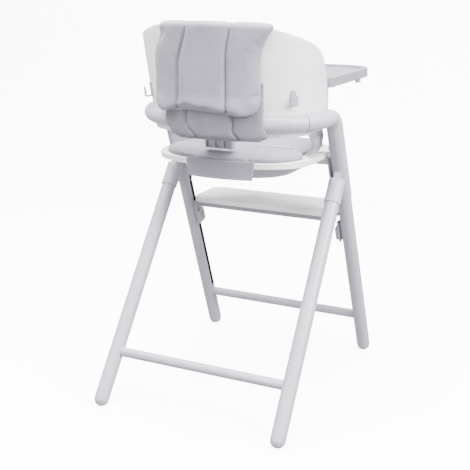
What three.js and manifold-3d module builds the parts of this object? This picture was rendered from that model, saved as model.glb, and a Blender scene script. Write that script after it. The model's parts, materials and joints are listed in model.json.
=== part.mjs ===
// Baby high chair on a folding A-frame, in millimetres.
// +Z is up, the child faces -Y, X = 0 is the plane of symmetry, and the origin lies on the floor
// under the middle of the chair. The child's left side is +X.
// Two raked legs meet in a hub on each side. The front legs run on through the hub into an elbow,
// and a round tube joins the two elbows behind the seat. A bent-wood shell hangs inside that tube.
// The seat and the footrest ride in slots along the front legs, the tray slides on two rails, and
// the rear legs fold forward about pins in the hubs.
import * as THREE from 'three';
import { mergeVertices } from 'three/addons/utils/BufferGeometryUtils.js';
import Module from 'manifold-3d';

const wasm = await Module();
wasm.setup();

// ---------------------------------------------------------------- driving dimensions

const GAP = 0.3; // between pieces that touch

// legs: round tubes that lean inwards a little as they rise
const LEG = { radius: 19, wall: 2, footX: 247.6, footZ: 18.6, lean: 0.0179 };
const FRONT = { footY: -292.9, rake: 0.4062 };
const REAR = { footY: 351.9, rake: -0.7141 };
const FOOT = { capHeight: 3, plugRadius: 16.2, plugHeight: 24 };
const CROSSBAR = { radius: 12.5, height: 124 };

// slot along the inner face of each front leg, and the rail pressed in behind it
const SLOT = { width: 12, bottom: 150, floor: 8.5 };
const RAIL = { outerHalf: 7.5, innerHalf: 5.5, mouth: 14.6, back: 6.5, top: 548 };

// hub, with the fold pivot on the rear leg's axis
const HUB = { radius: 21, bottom: 512, top: 672, boreTop: 552.5, spigotRadius: 17, spigotTop: 694 };
const GROOVE = { depth: 13, top: 628 };
const PIVOT = { y: -28.3, z: 551.4, pinRadius: 4, pinBore: 4.3 };
const TONGUE = { halfThick: 7.5, radius: 17.5, frontLow: 543, frontHigh: 604 };
const SOCKET = { radius: 21.3, slotHalf: 8, slotDepth: 26, legTop: 526, tip: 578 };
const FOLD_BUTTON = { z: 648, radius: 6, proud: 2.5, depth: 5 };

// arm tube: a level ring of straight sides, corner arcs and one wide back arc (its axis)
const ARM = { radius: 21, wall: 2, height: 734, bendRadius: 42, elbowEndAngle: 33, seam: 0.9 };
const RING = { halfWidth: 234.8, cornerY: 37.7, cornerRadius: 160, backRadius: 305 };

// bent-wood shell inside the ring (its outer face at the bottom edge); it flares as it rises
const SHELL = { halfWidth: 208.5, cornerY: 81.6, cornerRadius: 95, backRadius: 300, frontY: -7.5 };
const SHELL_FORM = { thick: 9, flare: 0.13, bottom: 700 };
const SHELL_TOP = { front: 735, rise: 233, flat: 2.6, round: 0.62, level: 958 };
const BRACKET = { halfWidth: 37, y0: 148, y1: 166, z0: 662, z1: 697, rib: 3, flangeY: 206 };
const HOOK = { position: 196, z: 780, height: 34, width: 12, reach: 19, plate: 3, lip: 24.5, round: 3 };

// seat: D-shaped board on a moulded base
const SEAT = { halfWidth: 207, frontY: -150, backY: 191.5, bottom: 621.5, thick: 13 };
const SEAT_CURVE = { cornerRadius: 112, backRadius: 350, frontRadius: 70 };
const SEAT_BASE = { halfWidth: 158, frontY: -110, backY: 160, bottom: 589, draft: 0.9 };
const SEAT_ARM = { y0: -82, y1: -32, z0: 604, inner: 158.5, carriageZ: 588, carriageHalf: 34 };
const PAD = { halfWidth: 190, frontY: -140, backY: 184, thick: 24 };
const BOLSTER = { from: 295, to: 395, foot: -9, thick: 15, top: 717 };
const STRAP_BAND = { halfWidth: 92, thick: 5, bottom: 592, top: 641 };

// harness, lying open
const WEB = { width: 25, thick: 3 };
const SHOULDER = { x: 46, z0: 700, z1: 872 };
const BUCKLE = { halfWidth: 24, y0: -41.5, y1: 4, height: 15, buttonRadius: 8 };

// footrest
const STEP_BOARD = { halfWidth: 217, y0: -242.5, y1: -89.5, bottom: 449, thick: 13, corner: 34 };
const STEP_BAR = { halfWidth: 213, y0: -116, y1: -94, height: 13 };
const STEP_ARM = { z: 412, below: 38, above: 30, bossBelow: 32, bossAbove: 6 };
const STEP_BUTTON = { radius: 8, proud: 3, depth: 7.5 };

// tray: a moulded base with a loose insert on top, on two rails
const TRAY = { halfWidth: 225, frontY: -370.9, backY: -13, corner: 85, bottom: 803, wall: 3 };
const TRAY_BELLY = { halfWidth: 158, depth: 130 };
const TRAY_BASE = { height: 12 };
const TRAY_INSERT = { height: 11, floor: 3, rim: 14 };
const TRAY_RAIL = { x0: 206, x1: 213.3, z0: 804.5, z1: 810.5, front: -200, post: 11, postY: -10 };
const TRAY_LATCH = { x0: 207, x1: 219, y0: -262, y1: -242, z0: 791, z1: 811 };

// soft layers over the shell
const BACK_PAD = { reach: 150, thick: 20, bottom: 703, top: 938 };
const FLAP = { reachTop: 143, reachBottom: 120, thick: 12, crest: 9, bottom: 765, innerBottom: 944 };
const COVER = { reach: 134, reachBottom: 152, thick: 8, bottom: 692, top: 835 };

// ---------------------------------------------------------------- materials

const COLOURS = {
  tube: { color: 0xd3d1da, roughness: 0.42, metalness: 0.25 },
  plastic: { color: 0xcfcdd6, roughness: 0.5, metalness: 0 },
  darkPlastic: { color: 0x2c2b30, roughness: 0.6, metalness: 0 },
  steel: { color: 0xb4b4b8, roughness: 0.35, metalness: 0.9 },
  wood: { color: 0xe9e9e7, roughness: 0.55, metalness: 0 },
  fabric: { color: 0xb8b5bf, roughness: 0.9, metalness: 0 },
  webbing: { color: 0x8f8d96, roughness: 0.85, metalness: 0 },
};

// ---------------------------------------------------------------- helpers

const vec = (x, y, z) => new THREE.Vector3(x, y, z);
const degrees = (angle) => THREE.MathUtils.degToRad(angle);

function weld(geometry) {
  const bare = geometry.clone();
  bare.deleteAttribute('normal');
  bare.deleteAttribute('uv');
  return mergeVertices(bare, 1e-4);
}

function solid(geometry) {
  const merged = weld(geometry);
  return new wasm.Manifold(
    new wasm.Mesh({
      numProp: 3,
      vertProperties: new Float32Array(merged.attributes.position.array),
      triVerts: new Uint32Array(merged.index.array),
    }),
  );
}

function geometryOf(manifold) {
  const mesh = manifold.getMesh();
  const geometry = new THREE.BufferGeometry();
  geometry.setAttribute('position', new THREE.BufferAttribute(new Float32Array(mesh.vertProperties), 3));
  geometry.setIndex(new THREE.BufferAttribute(new Uint32Array(mesh.triVerts), 1));
  geometry.computeVertexNormals();
  return geometry;
}

function box(x0, x1, y0, y1, z0, z1) {
  const geometry = new THREE.BoxGeometry(x1 - x0, y1 - y0, z1 - z0);
  geometry.translate((x0 + x1) / 2, (y0 + y1) / 2, (z0 + z1) / 2);
  return geometry;
}

// A round bar from one point to another.
function rod(from, to, radius, segments = 24) {
  const along = to.clone().sub(from);
  const geometry = new THREE.CylinderGeometry(radius, radius, along.length(), segments);
  const turn = new THREE.Quaternion().setFromUnitVectors(vec(0, 1, 0), along.clone().normalize());
  geometry.applyQuaternion(turn);
  geometry.translate((from.x + to.x) / 2, (from.y + to.y) / 2, (from.z + to.z) / 2);
  return geometry;
}

function circle(radius, segments) {
  const points = [];
  for (let i = 0; i < segments; i += 1) {
    const angle = (2 * Math.PI * i) / segments;
    points.push(new THREE.Vector2(radius * Math.cos(angle), radius * Math.sin(angle)));
  }
  return points;
}

// A section swept along a curve, hollow if an inner radius is given.
function pipe(curve, steps, radius, inner = 0, segments = 24, innerSegments = 16) {
  const section = new THREE.Shape(circle(radius, segments));
  if (inner > 0) {
    section.holes.push(new THREE.Path(circle(inner, innerSegments)));
  }
  return new THREE.ExtrudeGeometry(section, { extrudePath: curve, steps, bevelEnabled: false });
}

function prism(shape, z0, z1, curveSegments = 8) {
  const geometry = new THREE.ExtrudeGeometry(shape, { depth: z1 - z0, bevelEnabled: false, curveSegments });
  geometry.translate(0, 0, z0);
  return geometry;
}

// An outline given in (y, z), extruded along X.
function sidePrism(shape, x0, x1) {
  const geometry = new THREE.ExtrudeGeometry(shape, { depth: x1 - x0, bevelEnabled: false });
  geometry.applyMatrix4(new THREE.Matrix4().makeBasis(vec(0, 1, 0), vec(0, 0, 1), vec(1, 0, 0)));
  geometry.translate(x0, 0, 0);
  return geometry;
}

function roundedRectangle(x0, x1, y0, y1, radius) {
  const shape = new THREE.Shape();
  shape.absarc(x1 - radius, y0 + radius, radius, -Math.PI / 2, 0);
  shape.absarc(x1 - radius, y1 - radius, radius, 0, Math.PI / 2);
  shape.absarc(x0 + radius, y1 - radius, radius, Math.PI / 2, Math.PI);
  shape.absarc(x0 + radius, y0 + radius, radius, Math.PI, 1.5 * Math.PI);
  return shape;
}

// A D-shaped outline: rounded front corners, straight sides, corner arcs and one wide back arc.
function seatOutline(halfWidth, frontY, backY) {
  const { cornerRadius, backRadius, frontRadius } = SEAT_CURVE;
  const cornerX = halfWidth - cornerRadius;
  const backCentre = backY - backRadius;
  const cornerY = backCentre + Math.sqrt((backRadius - cornerRadius) ** 2 - cornerX ** 2);
  const tangent = Math.atan2(cornerY - backCentre, cornerX);
  const shape = new THREE.Shape();
  shape.absarc(halfWidth - frontRadius, frontY + frontRadius, frontRadius, -Math.PI / 2, 0);
  shape.absarc(cornerX, cornerY, cornerRadius, 0, tangent);
  shape.absarc(0, backCentre, backRadius, tangent, Math.PI - tangent);
  shape.absarc(-cornerX, cornerY, cornerRadius, Math.PI - tangent, Math.PI);
  shape.absarc(-halfWidth + frontRadius, frontY + frontRadius, frontRadius, Math.PI, 1.5 * Math.PI);
  return shape;
}

// A point on a left leg's axis at height z.
function legPoint(leg, z) {
  const up = z - LEG.footZ;
  return vec(LEG.footX - LEG.lean * up, leg.footY + leg.rake * up, z);
}

// The frame of a left leg at height z: local Z runs up the leg and local -X faces the seat.
function legFrame(leg, z) {
  const up = legPoint(leg, z + 1).sub(legPoint(leg, z)).normalize();
  const across = vec(1, 0, 0).addScaledVector(up, -up.x).normalize();
  const back = up.clone().cross(across);
  return new THREE.Matrix4().makeBasis(across, back, up).setPosition(legPoint(leg, z));
}

function onLeg(leg, z, geometry) {
  return geometry.applyMatrix4(legFrame(leg, z));
}

// A plan curve of straight sides, corner arcs and one wide back arc. Positions along it are arc
// lengths from the middle of the back, positive towards +X.
function planCurve({ halfWidth, cornerY, cornerRadius, backRadius }) {
  const cornerX = halfWidth - cornerRadius;
  const backY = cornerY - Math.sqrt((backRadius - cornerRadius) ** 2 - cornerX ** 2);
  const tangent = Math.atan2(cornerY - backY, cornerX);
  const backArc = backRadius * (Math.PI / 2 - tangent);
  const cornerEnd = backArc + cornerRadius * tangent;
  // The point at a position, moved outwards by an offset.
  function point(position, offset, z) {
    const side = Math.sign(position) || 1;
    const distance = Math.abs(position);
    if (distance < backArc) {
      const angle = Math.PI / 2 - distance / backRadius;
      const radius = backRadius + offset;
      return vec(side * radius * Math.cos(angle), backY + radius * Math.sin(angle), z);
    }
    const angle = Math.max(0, tangent - (distance - backArc) / cornerRadius);
    const radius = cornerRadius + offset;
    const straight = Math.max(0, distance - cornerEnd);
    return vec(
      side * (cornerX + radius * Math.cos(angle)),
      cornerY + radius * Math.sin(angle) - straight,
      z,
    );
  }
  // The arc length at which the outward normal makes an angle with the X axis.
  const atAngle = (angle) => backArc + cornerRadius * (tangent - angle);
  return { point, atAngle, cornerEnd, cornerY };
}

const ringCurve = planCurve(RING);
const shellCurve = planCurve(SHELL);
const SHELL_REACH = shellCurve.cornerEnd + SHELL.cornerY - SHELL.frontY;

// A point beside the shell: the offset is measured outwards from its outer face.
function wallPoint(position, z, offset) {
  return shellCurve.point(position, offset + SHELL_FORM.flare * (z - SHELL_FORM.bottom), z);
}

function shellTop(position) {
  const { front, rise, flat, round, level } = SHELL_TOP;
  const along = Math.min(1, Math.abs(position) / SHELL_REACH);
  return Math.min(level, front + rise * (1 - along ** flat) ** round);
}

// A closed panel that follows the wall. For each column a section of (offset, z) pairs is laid out,
// and neighbouring sections are joined; the two end sections are capped. A third number in a pair
// gives that point a position of its own.
function wallSolid(from, to, columns, section) {
  const positions = [];
  const rings = [];
  for (let i = 0; i <= columns; i += 1) {
    const position = from + ((to - from) * i) / columns;
    const outline = section(position);
    rings.push(outline.length);
    for (const [offset, z, own = position] of outline) {
      positions.push(...wallPoint(own, z, offset).toArray());
    }
  }
  const count = rings[0];
  const index = [];
  for (let i = 0; i < columns; i += 1) {
    for (let j = 0; j < count; j += 1) {
      const a = i * count + j;
      const b = i * count + ((j + 1) % count);
      index.push(a, b, b + count, a, b + count, a + count);
    }
  }
  const last = columns * count;
  const capOf = (position) => THREE.ShapeUtils.triangulateShape(
    section(position).map(([offset, z]) => new THREE.Vector2(offset, z)),
    [],
  );
  for (const [a, b, c] of capOf(from)) {
    index.push(a, c, b);
  }
  for (const [a, b, c] of capOf(to)) {
    index.push(last + a, last + b, last + c);
  }
  const geometry = new THREE.BufferGeometry();
  geometry.setAttribute('position', new THREE.BufferAttribute(new Float32Array(positions), 3));
  geometry.setIndex(index);
  return outward(geometry);
}

// Turns the faces outwards if the enclosed volume comes out negative.
function outward(geometry) {
  const points = geometry.attributes.position;
  const index = geometry.index.array;
  const [a, b, c] = [vec(0, 0, 0), vec(0, 0, 0), vec(0, 0, 0)];
  let volume = 0;
  for (let i = 0; i < index.length; i += 3) {
    a.fromBufferAttribute(points, index[i]);
    b.fromBufferAttribute(points, index[i + 1]);
    c.fromBufferAttribute(points, index[i + 2]);
    volume += a.dot(b.cross(c));
  }
  if (volume < 0) {
    for (let i = 0; i < index.length; i += 3) {
      [index[i + 1], index[i + 2]] = [index[i + 2], index[i + 1]];
    }
  }
  geometry.computeVertexNormals();
  return geometry;
}

// A section with an inner and an outer face, walked up the outer face and down the inner one.
function sheetSection(bottom, top, rows, inner, outer) {
  const section = [];
  for (let j = 0; j <= rows; j += 1) {
    const z = bottom + ((top - bottom) * j) / rows;
    section.push([outer(z), z]);
  }
  for (let j = rows; j >= 0; j -= 1) {
    const z = bottom + ((top - bottom) * j) / rows;
    section.push([inner(z), z]);
  }
  return section;
}

// ---------------------------------------------------------------- legs and feet

function foot(leg) {
  const profile = [];
  const steps = 5;
  for (let i = 0; i <= steps; i += 1) {
    const angle = (Math.PI / 2) * (i / steps - 1);
    profile.push(new THREE.Vector2(LEG.radius * Math.cos(angle), LEG.radius * Math.sin(angle)));
  }
  profile[0].x = 0;
  profile.push(new THREE.Vector2(LEG.radius, FOOT.capHeight));
  profile.push(new THREE.Vector2(FOOT.plugRadius, FOOT.capHeight));
  profile.push(new THREE.Vector2(FOOT.plugRadius, FOOT.plugHeight));
  profile.push(new THREE.Vector2(0, FOOT.plugHeight));
  const lathe = new THREE.LatheGeometry(profile, 20);
  lathe.rotateX(Math.PI / 2);
  onLeg(leg, LEG.footZ, lathe);
  const aboveFloor = box(0, 500, -500, 500, 0, 200);
  return geometryOf(solid(outward(weld(lathe))).intersect(solid(aboveFloor)));
}

function legTube(leg, top) {
  const start = legPoint(leg, LEG.footZ);
  const up = legPoint(leg, top).sub(start).normalize();
  start.addScaledVector(up, FOOT.capHeight + GAP);
  return pipe(new THREE.LineCurve3(start, legPoint(leg, top)), 1, LEG.radius, LEG.radius - LEG.wall);
}

// A straight slot along a front leg, cut inwards from the face beside the seat.
function slotCutter(width, fromZ, toZ, mouth, floor) {
  const length = legPoint(FRONT, toZ).distanceTo(legPoint(FRONT, fromZ));
  return onLeg(FRONT, fromZ, box(-mouth, -floor, -width / 2, width / 2, 0, length));
}

function frontLeg() {
  const tube = solid(legTube(FRONT, HUB.boreTop - GAP));
  const slot = slotCutter(SLOT.width, SLOT.bottom, HUB.boreTop + 20, LEG.radius + 6, SLOT.floor);
  return geometryOf(tube.subtract(solid(slot)));
}

function slotRail() {
  const length = legPoint(FRONT, RAIL.top).distanceTo(legPoint(FRONT, SLOT.bottom));
  const channel = new THREE.Shape();
  channel.moveTo(-RAIL.mouth, -RAIL.outerHalf);
  channel.lineTo(-RAIL.back, -RAIL.outerHalf);
  channel.lineTo(-RAIL.back, RAIL.outerHalf);
  channel.lineTo(-RAIL.mouth, RAIL.outerHalf);
  channel.lineTo(-RAIL.mouth, RAIL.innerHalf);
  channel.lineTo(-SLOT.floor, RAIL.innerHalf);
  channel.lineTo(-SLOT.floor, -RAIL.innerHalf);
  channel.lineTo(-RAIL.mouth, -RAIL.innerHalf);
  return onLeg(FRONT, SLOT.bottom, prism(channel, 0, length));
}

function crossbar(leg) {
  const end = legPoint(leg, CROSSBAR.height);
  const start = end.clone().setX(-end.x);
  let bar = solid(rod(start, end, CROSSBAR.radius, 20));
  const reach = [CROSSBAR.height - 60, CROSSBAR.height + 60];
  for (const sign of [1, -1]) {
    const [low, high] = reach.map((z) => legPoint(leg, z).multiply(vec(sign, 1, 1)));
    bar = bar.subtract(solid(rod(low, high, LEG.radius + GAP, 24)));
  }
  return geometryOf(bar);
}

// ---------------------------------------------------------------- hub and fold joint

function pivotPoint() {
  return vec(legPoint(REAR, PIVOT.z).x, PIVOT.y, PIVOT.z);
}

function acrossPivot(radius, x0, x1, segments = 24) {
  return rod(vec(x0, PIVOT.y, PIVOT.z), vec(x1, PIVOT.y, PIVOT.z), radius, segments);
}

function hub() {
  const pivot = pivotPoint();
  const low = legPoint(FRONT, TONGUE.frontLow);
  const high = legPoint(FRONT, TONGUE.frontHigh);
  const web = new THREE.Shape();
  web.moveTo(low.y, low.z);
  web.absarc(PIVOT.y, PIVOT.z, TONGUE.radius, degrees(-100), degrees(60));
  web.lineTo(high.y, high.z);
  const tongue = solid(sidePrism(web, pivot.x - TONGUE.halfThick, pivot.x + TONGUE.halfThick));
  const sleeve = solid(rod(legPoint(FRONT, HUB.bottom), legPoint(FRONT, HUB.top), HUB.radius, 28));
  const spigot = rod(legPoint(FRONT, HUB.top - 5), legPoint(FRONT, HUB.spigotTop), HUB.spigotRadius, 16);
  const bore = rod(legPoint(FRONT, HUB.bottom - 10), legPoint(FRONT, HUB.boreTop), LEG.radius + GAP, 28);
  const groove = slotCutter(SLOT.width, HUB.bottom - 10, GROOVE.top, HUB.radius + 6, GROOVE.depth);
  const pinBore = acrossPivot(PIVOT.pinBore, pivot.x - 40, pivot.x + 40, 16);
  const button = onLeg(FRONT, FOLD_BUTTON.z, buttonBore(FOLD_BUTTON.radius + GAP, HUB.radius, FOLD_BUTTON.depth + 3));
  let body = sleeve.add(tongue).add(solid(spigot));
  for (const cutter of [bore, groove, pinBore, button]) {
    body = body.subtract(solid(cutter));
  }
  return geometryOf(body);
}

// A round pocket, or the button in it, on the face of a leg beside the seat (local -X).
function buttonBore(radius, surface, depth) {
  return rod(vec(-surface - 6, 0, 0), vec(-surface + depth, 0, 0), radius, 16);
}

function foldButton() {
  const { z, radius, proud, depth } = FOLD_BUTTON;
  const face = HUB.radius;
  return onLeg(FRONT, z, rod(vec(-face - proud, 0, 0), vec(-face + depth, 0, 0), radius, 16));
}

function rearSocket() {
  const pivot = pivotPoint();
  const reach = SOCKET.radius + 2;
  const below = solid(rod(legPoint(REAR, HUB.bottom), legPoint(REAR, PIVOT.z), SOCKET.radius, 28));
  const tip = solid(rod(legPoint(REAR, PIVOT.z - 4), legPoint(REAR, SOCKET.tip), SOCKET.radius, 28));
  const knuckle = solid(acrossPivot(SOCKET.radius, pivot.x - reach, pivot.x + reach, 28));
  const bore = rod(legPoint(REAR, HUB.bottom - 10), legPoint(REAR, SOCKET.legTop + 1), LEG.radius + GAP, 28);
  // The slot is open to the front, where the hub's tongue swings, and closed behind.
  const clear = TONGUE.radius + 0.9;
  const front = solid(onLeg(REAR, PIVOT.z, box(-40, 40, -60, 0, -SOCKET.slotDepth, 60)));
  const top = solid(onLeg(REAR, PIVOT.z, box(-40, 40, -1, clear - 2.4, 0, 60)));
  const round = solid(acrossPivot(clear, pivot.x - 40, pivot.x + 40, 28));
  const slotWalls = solid(box(pivot.x - SOCKET.slotHalf, pivot.x + SOCKET.slotHalf, -150, 150, 400, 700));
  const slot = front.add(top).add(round).intersect(slotWalls);
  const pinBore = solid(acrossPivot(PIVOT.pinBore, pivot.x - 40, pivot.x + 15, 16));
  return geometryOf(below.add(tip.intersect(knuckle)).subtract(solid(bore)).subtract(slot).subtract(pinBore));
}

function pivotPin() {
  const pivot = pivotPoint();
  return acrossPivot(PIVOT.pinRadius, pivot.x - 20.5, pivot.x + 14.5, 16);
}

// ---------------------------------------------------------------- elbows and back tube

// The axis of the left elbow: up the front leg, round the bend, back along the ring's side.
function elbowPath() {
  const corner = legPoint(FRONT, ARM.height);
  const up = corner.clone().sub(legPoint(FRONT, HUB.top)).normalize();
  const back = vec(0, 1, 0);
  const turn = up.angleTo(back);
  const tangent = ARM.bendRadius * Math.tan(turn / 2);
  const points = [legPoint(FRONT, HUB.top + GAP)];
  const bendStart = corner.clone().addScaledVector(up, -tangent);
  points.push(points[0].clone().lerp(bendStart, 0.5));
  const inwards = back.clone().addScaledVector(up, -back.dot(up)).normalize();
  const centre = bendStart.clone().addScaledVector(inwards, ARM.bendRadius);
  const bendSteps = 8;
  for (let i = 0; i <= bendSteps; i += 1) {
    const angle = (turn * i) / bendSteps;
    points.push(centre.clone()
      .addScaledVector(inwards, -ARM.bendRadius * Math.cos(angle))
      .addScaledVector(up, ARM.bendRadius * Math.sin(angle)));
  }
  const sideStart = ringCurve.cornerEnd + ringCurve.cornerY - points.at(-1).y;
  const sideSteps = 9;
  for (let i = 1; i <= sideSteps; i += 1) {
    const position = sideStart + ((ELBOW_END - sideStart) * i) / sideSteps;
    points.push(ringCurve.point(position, 0, ARM.height));
  }
  return new THREE.CatmullRomCurve3(points, false, 'centripetal');
}

const ELBOW_END = ringCurve.atAngle(degrees(ARM.elbowEndAngle));

function ringStretch(from, to, count) {
  const points = [];
  for (let i = 0; i <= count; i += 1) {
    points.push(ringCurve.point(from + ((to - from) * i) / count, 0, ARM.height));
  }
  return new THREE.CatmullRomCurve3(points, false, 'centripetal');
}

// The space taken by the shell; the ring is cut back to it, so it hugs the shell's corners.
function shellRoom() {
  const [low, high] = [SHELL_FORM.bottom, ARM.height + 40];
  const section = [[-40, low], [GAP, low], [GAP, high], [-40, high]];
  return solid(wallSolid(-SHELL_REACH, SHELL_REACH, 44, () => section));
}

// The elbow is hollow. A plug at its rear end fits inside the back tube.
function elbow() {
  const inner = ARM.radius - 3;
  const plugRadius = ARM.radius - ARM.wall - 1.4;
  const wall = solid(pipe(elbowPath(), 18, ARM.radius, inner, 20, 12));
  const plug = solid(pipe(ringStretch(ELBOW_END + 12, ELBOW_END - 22, 3), 3, plugRadius, 0, 12));
  const collar = solid(pipe(ringStretch(ELBOW_END + 12, ELBOW_END + 2, 2), 2, ARM.radius - 1.2, 0, 12));
  return geometryOf(wall.add(collar).add(plug).subtract(shellRoom()));
}

function backTube() {
  const end = ELBOW_END - ARM.seam;
  const tube = pipe(ringStretch(-end, end, 24), 24, ARM.radius, ARM.radius - ARM.wall, 20, 12);
  return geometryOf(solid(tube).subtract(shellRoom()));
}

// ---------------------------------------------------------------- shell and what it carries

function backrestShell() {
  const inner = -SHELL_FORM.thick;
  return wallSolid(-SHELL_REACH, SHELL_REACH, 44, (position) =>
    sheetSection(SHELL_FORM.bottom, shellTop(position), 7, () => inner, () => 0));
}

// A plastic block with three pockets in its rear face, hung from a flange under the shell's edge.
function backBracket() {
  const { halfWidth, y0, y1, z0, z1, rib, flangeY } = BRACKET;
  const block = solid(box(-halfWidth, halfWidth, y0, y1, z0, z1));
  const flange = solid(box(-halfWidth + rib, halfWidth - rib, y0, flangeY, z1 - rib, SHELL_FORM.bottom - GAP));
  const pitch = (2 * halfWidth - rib) / 3;
  let body = block.add(flange);
  for (let i = 0; i < 3; i += 1) {
    const x0 = -halfWidth + rib + i * pitch;
    const pocket = box(x0, x0 + pitch - rib, (y0 + y1) / 2, y1 + 1, z0 + rib, z1 - 2 * rib);
    body = body.subtract(solid(pocket));
  }
  return geometryOf(body);
}

// A J-shaped hook: a plate on the shell, a foot and an upturned lip. The section is (out, up).
function storageHook() {
  const { position, z, height, width, reach, plate, lip, round } = HOOK;
  const section = new THREE.Shape();
  section.moveTo(0, 0);
  section.lineTo(reach - round, 0);
  section.absarc(reach - round, round, round, -Math.PI / 2, 0);
  section.lineTo(reach, lip);
  section.lineTo(reach - plate, lip);
  section.lineTo(reach - plate, plate);
  section.lineTo(plate, plate);
  section.lineTo(plate, height);
  section.lineTo(0, height);
  const geometry = new THREE.ExtrudeGeometry(section, { depth: width, bevelEnabled: false, curveSegments: 4 });
  geometry.translate(0, 0, -width / 2);
  const lowest = wallPoint(position, z, GAP);
  const highest = wallPoint(position, z + height, GAP);
  const up = highest.clone().sub(lowest).normalize();
  const out = wallPoint(position, z, GAP + 1).sub(lowest);
  const outSquare = out.addScaledVector(up, -out.dot(up)).normalize();
  const along = outSquare.clone().cross(up);
  const frame = new THREE.Matrix4().makeBasis(outSquare, up, along).setPosition(lowest);
  return geometry.applyMatrix4(frame);
}

// ---------------------------------------------------------------- tray

// The tray's outline, drawn smaller by the given inset.
function trayOutline(inset) {
  const half = TRAY.halfWidth - inset;
  const front = TRAY.frontY + inset;
  const back = TRAY.backY - inset;
  const corner = TRAY.corner - inset;
  const bellyHalf = TRAY_BELLY.halfWidth + inset;
  const bellyDepth = TRAY_BELLY.depth + inset;
  const shape = new THREE.Shape();
  shape.absarc(half - corner, front + corner, corner, -Math.PI / 2, 0);
  shape.lineTo(half, back);
  shape.lineTo(bellyHalf, back);
  shape.absellipse(0, back, bellyHalf, bellyDepth, 0, Math.PI, true);
  shape.lineTo(-half, back);
  shape.absarc(-half + corner, front + corner, corner, Math.PI, 1.5 * Math.PI);
  return shape;
}

function trayBase() {
  const top = TRAY.bottom + TRAY_BASE.height;
  let body = solid(prism(trayOutline(0), TRAY.bottom, top));
  body = body.subtract(solid(prism(trayOutline(TRAY.wall), TRAY.bottom - 5, top - TRAY.wall)));
  for (const sign of [1, -1]) {
    const [x0, x1] = [TRAY_RAIL.x0 - 2, TRAY_RAIL.x1 + 2].map((x) => x * sign).sort((a, b) => a - b);
    body = body.subtract(solid(box(x0, x1, TRAY.backY - 8, TRAY.backY + 5, TRAY.bottom - 5, TRAY_RAIL.z1 + 1)));
  }
  return geometryOf(body);
}

function trayInsert() {
  const bottom = TRAY.bottom + TRAY_BASE.height + GAP;
  const top = bottom + TRAY_INSERT.height;
  const dish = prism(trayOutline(TRAY_INSERT.rim), bottom + TRAY_INSERT.floor, top + 5);
  return geometryOf(solid(prism(trayOutline(1), bottom, top)).subtract(solid(dish)));
}

// A post beside the shell's front edge that carries a rail under the tray.
function trayRail() {
  const { x0, x1, z0, z1, front, post, postY } = TRAY_RAIL;
  const rail = solid(box(x0, x1, front, postY, z0, z1));
  const upright = solid(box(x0, x1, postY - post, postY, ARM.height - ARM.radius, z1));
  return geometryOf(rail.add(upright));
}

function trayLatch() {
  const { x0, x1, y0, y1, z0, z1 } = TRAY_LATCH;
  return prism(roundedRectangle(x0, x1, y0, y1, 4), z0, z1, 3);
}

// ---------------------------------------------------------------- seat

function seatPlate() {
  const outline = seatOutline(SEAT.halfWidth, SEAT.frontY, SEAT.backY);
  return prism(outline, SEAT.bottom, SEAT.bottom + SEAT.thick, 9);
}

function seatBase() {
  const { halfWidth, frontY, backY, bottom, draft } = SEAT_BASE;
  const geometry = prism(seatOutline(halfWidth, frontY, backY), bottom, SEAT.bottom - GAP, 7);
  const points = geometry.attributes.position;
  for (let i = 0; i < points.count; i += 1) {
    if (points.getZ(i) < bottom + 1) {
      points.setXY(i, points.getX(i) * draft, points.getY(i) * draft);
    }
  }
  return geometry;
}

function seatBracket() {
  const { y0, y1, z0, inner, carriageZ, carriageHalf } = SEAT_ARM;
  const arm = solid(box(inner, 212, y0, y1, z0, SEAT.bottom - GAP));
  const plate = onLeg(FRONT, carriageZ, box(-27, -22.6, -16, 16, -carriageHalf, carriageHalf - 4));
  const slider = onLeg(FRONT, carriageZ, box(-23, -14.2, -5.2, 5.2, -18, 24));
  const below = solid(box(0, 400, -300, 300, 0, SEAT.bottom - GAP));
  return geometryOf(arm.add(solid(plate)).add(solid(slider)).intersect(below));
}

// The seat pad, cut back where the side pads stand.
function seatCushion() {
  const bottom = SEAT.bottom + SEAT.thick + GAP;
  const top = bottom + PAD.thick;
  const pad = solid(prism(seatOutline(PAD.halfWidth, PAD.frontY, PAD.backY), bottom, top, 6));
  const { from, to, foot, thick } = BOLSTER;
  const cut = foot - thick - 3;
  const beside = [[20, bottom - 1], [20, top + 1], [cut, top + 1], [cut, bottom - 1]];
  let body = pad;
  for (const sign of [1, -1]) {
    body = body.subtract(solid(wallSolid(sign * (from - 3), sign * (to + 100), 14, () => beside)));
  }
  return geometryOf(body);
}

// Upright side pad: it bulges out over the seat board and goes up inside the shell.
function bolster() {
  const { from, to, foot, thick, top } = BOLSTER;
  const bottom = SEAT.bottom + SEAT.thick + GAP;
  const inside = -SHELL_FORM.thick - 2;
  const outer = [[foot, bottom], [-5, 662], [-2, 682], [inside, 698], [inside, top]];
  const inner = outer.map(([offset, z]) => [offset - thick, z]).reverse();
  return wallSolid(from, to, 10, () => [...outer, ...inner]);
}

// The fabric band that holds the cushion to the back edge of the seat board.
function rearBand() {
  const { halfWidth, thick, bottom, top } = STRAP_BAND;
  const centreY = SEAT.backY - SEAT_CURVE.backRadius;
  const inner = SEAT_CURVE.backRadius + 1;
  const reach = Math.asin(halfWidth / inner);
  const shape = new THREE.Shape();
  shape.absarc(0, centreY, inner + thick, Math.PI / 2 - reach, Math.PI / 2 + reach);
  shape.absarc(0, centreY, inner, Math.PI / 2 + reach, Math.PI / 2 - reach, true);
  return prism(shape, bottom, top, 8);
}

// ---------------------------------------------------------------- harness

function padTop() {
  return SEAT.bottom + SEAT.thick + 2 * GAP + PAD.thick;
}

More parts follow.
